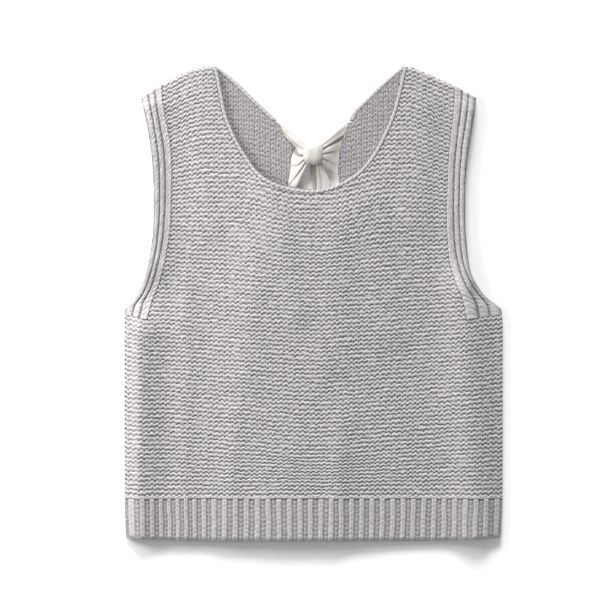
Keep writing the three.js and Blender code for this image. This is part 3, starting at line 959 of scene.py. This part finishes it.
def makeHem(face, seed):
    columns = np.arange(hem["ribs"] * hem["places"] + 1)
    share = heightTrack(hem["spread"], 1)(columns / hem["places"])
    t = np.linspace(0, 1, hem["rows"] + 1)[:, None]
    level = mix(edgeTrack["left"](cut["hemTop"]), edgeTrack["right"](cut["hemTop"]), share)
    y = mix(hemFoot(level)[None, :], cut["hemTop"], t)
    x = mix(edgeTrack["left"](y), edgeTrack["right"](y), share[None, :])
    inward = smooth(np.minimum(share, 1 - share) / hem["sideShare"])
    x = x + hem["drift"] * softNoise(x, y, hem["driftSize"], seed) * inward
    foot = smooth((y - hemFoot(level)[None, :]) / hem["foot"]["height"])
    shape = ribHeight(columns, y, seed) * mix(hem["foot"]["shape"], 1, foot)
    depth = mix(hem["foot"]["depth"], grooveShadeTone(shape), foot)
    made = ribStrip(face, np.stack([x, y], -1), shape, depth, rolled(x, y), hem["sunk"])
    return addCloth(f"{face}_hem", made, ribMaterial, [f"{face}_hem_rib"])


frontHem = makeHem("front", 32)
backHem = makeHem("back", 33)


# Armhole bands: wales along the band, a rolled one outside and a high one beside the body
band = {
    # share of the way across from the armhole, height
    "profile": [
        (0, -1.2), (0.03, -0.5), (0.08, 0.0), (0.14, 0.35), (0.2, 0.5), (0.26, 0.35), (0.3, 0.1),
        (0.33, -0.6), (0.36, -0.6), (0.395, 0.1), (0.46, 0.35), (0.54, 0.35), (0.605, 0.1),
        (0.64, -0.6), (0.67, -0.6), (0.71, 0.05), (0.76, 0.25), (0.82, 0.4), (0.87, 0.5),
        (0.92, 0.65), (0.96, 0.7), (1, 0.5),
    ],
    "wales": [0.2, 0.5, 0.87],  # middles of the wales
    "lag": [0, 0.37, 0.71],
    "lean": 3.2,
    "steps": 230,
    "evenStep": 1.1,  # the stitches are calmer where the steps are shorter than this
    "stitch": 4.9,
    "wave": 0.3,
    "sunkFrom": 0.5,  # depth of a groove between wales that has its full dashes
    "dash": 0.75,
    "uneven": 0.32,
    "sunk": 0.45,
    "firstSeed": 40,
    "flat": (0.024, 0.262),
    "area": {"left": 0.0051, "right": 0.0056},
}


def bandNet(side, across):
    u = np.linspace(0, 1, band["steps"])
    innerY = mix(cut["bodyFoot"] + cut["seam"], alongShoulder(side, cut["bandShare"])[1], u)
    inner = np.stack([besideBand(side, innerY) + outward[side] * cut["seam"], innerY], 1)
    outerY = mix(innerY[0] + cut["bandSlope"], shoulderRows[side][0][1], u ** 1.5)
    outer = np.stack([edgeTrack[side](outerY), outerY], 1)
    return strip(outer, inner, across)


# Stitches along the wales, with dashes sunk in the grooves between them
def waleShape(net, across, height, seed):
    walk = walkAlong(net[:, len(across) // 2 - 1])[:, None]
    noise = np.random.default_rng(seed).uniform(-1, 1, net.shape[:2])
    away = np.abs(across[:, None] - np.array(band["wales"])[None, :])
    phase = band["lean"] * away.min(1)[None, :] + np.array(band["lag"])[away.argmin(1)][None, :]
    wave = np.cos(2 * math.pi * (walk / band["stitch"] + phase))
    gap = np.hypot(np.gradient(net[..., 0], axis=0), np.gradient(net[..., 1], axis=0))
    calm = np.clip(gap / band["evenStep"], 0.1, 1) ** 1.5
    sunk = smooth(-height / band["sunkFrom"])[None, :]
    shape = height[None, :] + calm * (band["wave"] * wave - band["dash"] * sunk * (0.5 + 0.5 * wave))
    return shape + calm * band["uneven"] * (1 + sunk) * noise


def makeBand(face, side, seed):
    across, height = np.array(band["profile"]).T
    net = bandNet(side, across)
    shape = waleShape(net, across, height, seed)
    made = ribStrip(face, net, shape, grooveShadeTone(shape), 0, band["sunk"])
    return addCloth(f"{face}_band_{side}", made, ribMaterial, [f"{face}_armhole_band_{side}"])


bands = {}
for face in ("front", "back"):
    for side in outward:
        bands[face, side] = makeBand(face, side, band["firstSeed"] + len(bands))
print("ribs ready")


# Cast-off rims: a chain round the scoop and down both sides of the back's V
rim = {
    # share of the way across from the opening, height
    "profile": [
        (0, -0.9), (0.12, -0.1), (0.25, 0.25), (0.38, 0.45), (0.5, 0.2),
        (0.62, 0.45), (0.75, 0.3), (0.88, 0.0), (1, -0.35),
    ],
    "link": 5.4, "wave": 0.3, "lean": 0.6, "uneven": 0.08,
    "scoopEvery": 5,  # every fifth place of the scoop's line
    "scoopRaised": 0.3,
    "scoopSeed": 51,
    "backSteps": 70, "backSunk": 0.35, "backShare": 0.7, "backSeed": 52,
}
rimAcross, rimHeight = np.array(rim["profile"]).T


def rimShape(line, seed):
    walk = walkAlong(line)[:, None]
    wave = np.cos(2 * math.pi * (walk / rim["link"] + rim["lean"] * rimAcross[None, :]))
    noise = np.random.default_rng(seed).uniform(-rim["uneven"], rim["uneven"], wave.shape)
    return rimHeight[None, :] + rim["wave"] * wave + noise


def makeScoopRim():
    line = scoopLine[:: rim["scoopEvery"]]
    body = besideLine(scoopLine, cut["neckRim"])[:: rim["scoopEvery"]]
    net = strip(line, body, rimAcross)
    shape = rimShape(line, rim["scoopSeed"])
    top = frontUnder(net[..., 0], net[..., 1]) + cut["wall"] + rim["scoopRaised"] + shape
    made = stripMade(net, top, grooveShadeTone(shape), frontUnder)
    return addCloth("scoop_rim", made, ribMaterial, ["front_neck_edge"])


def makeBackRim(side):
    y = np.linspace(cut["rimFoot"] + 2 * cut["seam"], cut["neckTop"], rim["backSteps"])
    x = slitTrack[side](y)
    line = np.stack([x, y], 1)
    body = np.stack([x + outward[side] * cut["rimAcross"], y], 1)
    shape = rimShape(line, rim["backSeed"])
    top = cut["wall"] - rim["backSunk"] + rim["backShare"] * shape
    made = stripMade(strip(line, body, rimAcross), top, grooveShadeTone(shape), tableTop)
    return addCloth(f"back_rim_{side}", made, ribMaterial, [f"back_neck_edge_{side}"])


scoopRim = makeScoopRim()
backRims = {side: makeBackRim(side) for side in outward}


# Satin knot: a rounded block with creases
knot = {
    "x": -0.4, "y": 164, "acrossX": 11, "acrossY": 11.2, "high": 11.5, "low": 3.4,
    "square": 2.8,  # powers of its roundness, seen from above and from the side
    "squareUp": 2.2,
    "around": 110, "up": 72,
    # place across from -1 to 1, lean, half width, depth
    "creases": [
        (-0.6, 0.3, 0.14, 0.03), (-0.2, 0.3, 0.16, 0.05),
        (0.12, 0.35, 0.1, 0.03), (0.8, -0.25, 0.12, 0.05),
    ],
    "creaseFoot": -0.6,  # height from -1 to 1 where the creases start
    "paintedCreaseShade": 3.5,
    "widthShare": 0.3,  # share of the creases' depth that narrows it
    "waist": 0.12, "waistShare": 0.5,
}

# Ribbons from the slit's edges, gathered in folds to the knot
tie = {
    "steps": 150, "columns": 44, "thick": 1.0,
    "tucked": 1.5,  # how far the gathers reach into the knot
    "offSlit": 0.45,
    "knotSide": 8.4,  # heights of the underside
    "sewnSide": 2.4,
    "lowest": 0.1,
    "puff": 1.4, "creaseShare": 0.8, "paintedCreaseShade": 2.2,
    "uneven": 0.25, "unevenSize": 6, "seed": 61,
}
tieCut = {
    "left": {
        "sewn": (104, 200),  # y, from and to
        "gathers": (238, 132),  # degrees round the knot
        # share up the knot's side, share up the sewn edge, depth, half width, strength at the sewn edge
        "creases": [
            (0.5, 0.72, 2.0, 0.05, 1.0), (0.28, 0.5, 1.3, 0.045, 0.5),
            (0.12, 0.25, 1.2, 0.05, 0.7), (0.75, 0.87, 0.8, 0.04, 0.6),
        ],
        "flat": (0.096, 0.043),
        "area": 0.00145,
    },
    "right": {
        "sewn": (141.4, 200),
        "gathers": (-54, 60),
        "creases": [
            (0.7, 0.71, 1.8, 0.06, 1.0), (0.46, 0.44, 1.5, 0.05, 0.15),
            (0.22, 0.14, 0.8, 0.06, 0.2), (0.86, 0.88, 0.5, 0.06, 0.6),
        ],
        "flat": (0.0586, 0.043),
        "area": 0.0012,
    },
}


# Folds that spread from the knot, steeper on their upper side
def creaseField(t, across, creases):
    field = np.zeros((len(t), len(across)))
    for gathered, sewn, deep, wide, last in creases:
        side = t[:, None] - mix(gathered, sewn, across)[None, :]
        wide = wide * np.where(side > 0, 0.6, 1.3) * mix(0.8, 1.1, across)[None, :]
        strength = mix(1.0, last, smooth(across))[None, :]
        field += deep * strength * np.exp(-((side / wide) ** 2))
    return field


# A ribbon with both sides fine, over the heights of its underside
def addSatin(name, net, low, shadeTone, nodes):
    faces = gridFaces(np.arange(low.size).reshape(low.shape), low)
    heights = low.ravel() + tie["thick"], low.ravel()
    made = twoFaced(faces, net.reshape(-1, 2), *heights, shadeTone.ravel(), shadeTone.ravel())
    return addCloth(name, made, tieMaterial, nodes)


def makeTie(side):
    cfg = tieCut[side]
    t = np.linspace(0, 1, tie["steps"])
    angle = np.radians(mix(*cfg["gathers"], t))
    x = np.cos(angle) * (knot["acrossX"] - tie["tucked"]) + knot["x"]
    y = np.sin(angle) * (knot["acrossY"] - tie["tucked"]) + knot["y"]
    gathered = np.stack([x, y], 1)
    y = mix(*cfg["sewn"], t)
    sewn = np.stack([slitTrack[side](y) - outward[side] * tie["offSlit"], y], 1)
    across = np.linspace(0, 1, tie["columns"])
    net = strip(gathered, sewn, across)
    crease = creaseField(t, across, cfg["creases"])
    dome = np.sin(math.pi * np.clip(across * 0.9 + 0.1, 0, 1))[None, :]
    puff = tie["puff"] * dome * np.sin(math.pi * t)[:, None] ** 0.5
    low = mix(tie["knotSide"], tie["sewnSide"], smooth(across))[None, :] + puff - tie["creaseShare"] * crease
    low = low + tie["uneven"] * softNoise(net[..., 0], net[..., 1], tie["unevenSize"], tie["seed"])
    # painted shade: the satin darkens towards its groove colour in its creases
    shadeTone = np.clip(1 - crease / tie["paintedCreaseShade"], 0, 1)
    return addSatin(f"tie_{side}", net, np.maximum(low, tie["lowest"]), shadeTone, [f"satin_tie_{side}"])


ties = {side: makeTie(side) for side in outward}


def makeKnot():
    u = np.linspace(0, 2 * math.pi, knot["around"], endpoint=False)
    v = np.linspace(-math.pi / 2, math.pi / 2, knot["up"])
    around, up = np.meshgrid(u, v)
    px, py, pz = np.cos(up) * np.cos(around), np.cos(up) * np.sin(around), np.sin(up)
    power = knot["square"]
    size = (np.abs(px) ** power + np.abs(py) ** power + np.abs(pz) ** knot["squareUp"]) ** (1 / power)
    px, py, pz = px / size, py / size, pz / size
    crease = np.zeros(px.shape)
    for place, lean, wide, deep in knot["creases"]:
        crease += deep * np.exp(-(((px - place - lean * py) / wide) ** 2))
    shrink = 1 - crease * np.clip(pz - knot["creaseFoot"], 0, 1)
    waist = 1 - knot["waist"] * np.cos(math.pi * py) * (px > 0)
    x = knot["x"] + px * knot["acrossX"] * mix(1.0, shrink, knot["widthShare"])
    y = knot["y"] + py * knot["acrossY"] * mix(1.0, waist, knot["waistShare"])
    z = knot["low"] + knot["high"] / 2 + pz * shrink * knot["high"] / 2
    places = np.stack([x.ravel(), y.ravel(), z.ravel()], 1)
    # painted shade: the knot darkens in its creases
    shadeTone = 1 - knot["paintedCreaseShade"] * crease.ravel()
    index = np.arange(around.size).reshape(around.shape)
    index[0], index[-1] = index[0, 0], index[-1, 0]
    index = np.concatenate([index, index[:, :1]], 1)
    faces, spots, shadeTone = compact(gridFaces(index, np.zeros(index.shape)), places, shadeTone)
    a, b, c = (spots[faces[:, k]] for k in range(3))
    if (np.cross(b - a, c - a) * (a - spots.mean(0))).sum() < 0:
        faces = faces[:, ::-1]
    return addCloth("knot", (spots, faces, np.clip(shadeTone, 0, 1)), tieMaterial, ["tie_knot"])


knotPiece = makeKnot()


# The ribbons' free ends, with one crease that dies out towards the foot
tail = {
    "steps": 110, "columns": 17, "dome": 0.5,
    "creaseFoot": 0.25,  # where across it the crease lies, at its foot and at the knot
    "creaseTop": 0.4,
    "creaseWidth": 0.09, "creaseDepth": 0.5, "paintedCreaseShade": 0.25, "raised": 0.5,
}
tailCut = {
    "upper": {
        # y, middle, width, height of the underside
        "rows": [(46, 8.3, 16, 1.7), (86, 10.5, 16, 1.8), (128, 11.5, 15.4, 2), (153.6, 6.2, 6.5, 4.5)],
        "shadeTone": 1.0,
        "flat": (0.016, 0.108),
        "area": 0.0016,
    },
    "lower": {
        "rows": [(52, -10, 14, 0.2), (86, -5, 14, 0.2), (128, 5.2, 12, 0.4), (153.5, -1.4, 5.5, 2.6)],
        "shadeTone": 0.6,  # it lies in the shade of the upper one
        "flat": (0.014, 0.101),
        "area": 0.0013,
    },
}


def makeEnd(name):
    rows = tailCut[name]["rows"]
    y = np.linspace(rows[0][0], rows[-1][0], tail["steps"])
    middle, width, under = (heightTrack(rows, k)(y) for k in (1, 2, 3))
    across = np.linspace(0, 1, tail["columns"])
    net = strip(np.stack([middle - width / 2, y], 1), np.stack([middle + width / 2, y], 1), across)
    along = (y - y[0]) / (y[-1] - y[0])
    away = across[None, :] - mix(tail["creaseFoot"], tail["creaseTop"], along)[:, None]
    crease = np.exp(-((away / tail["creaseWidth"]) ** 2)) * smooth(along * 2 - 0.2)[:, None]
    dome = tail["dome"] * np.sin(math.pi * across)[None, :]
    low = under[:, None] + dome - tail["creaseDepth"] * crease + tail["raised"]
    # painted shade: darker in the crease, and the lower end darker all over as it lies in the upper one's
    # shade
    shadeTone = tailCut[name]["shadeTone"] * (1 - tail["paintedCreaseShade"] * crease)
    return addSatin(f"end_{name}", net, low, shadeTone, [f"tie_end_{name}"])


ends = {name: makeEnd(name) for name in tailCut}
print("satin ready")
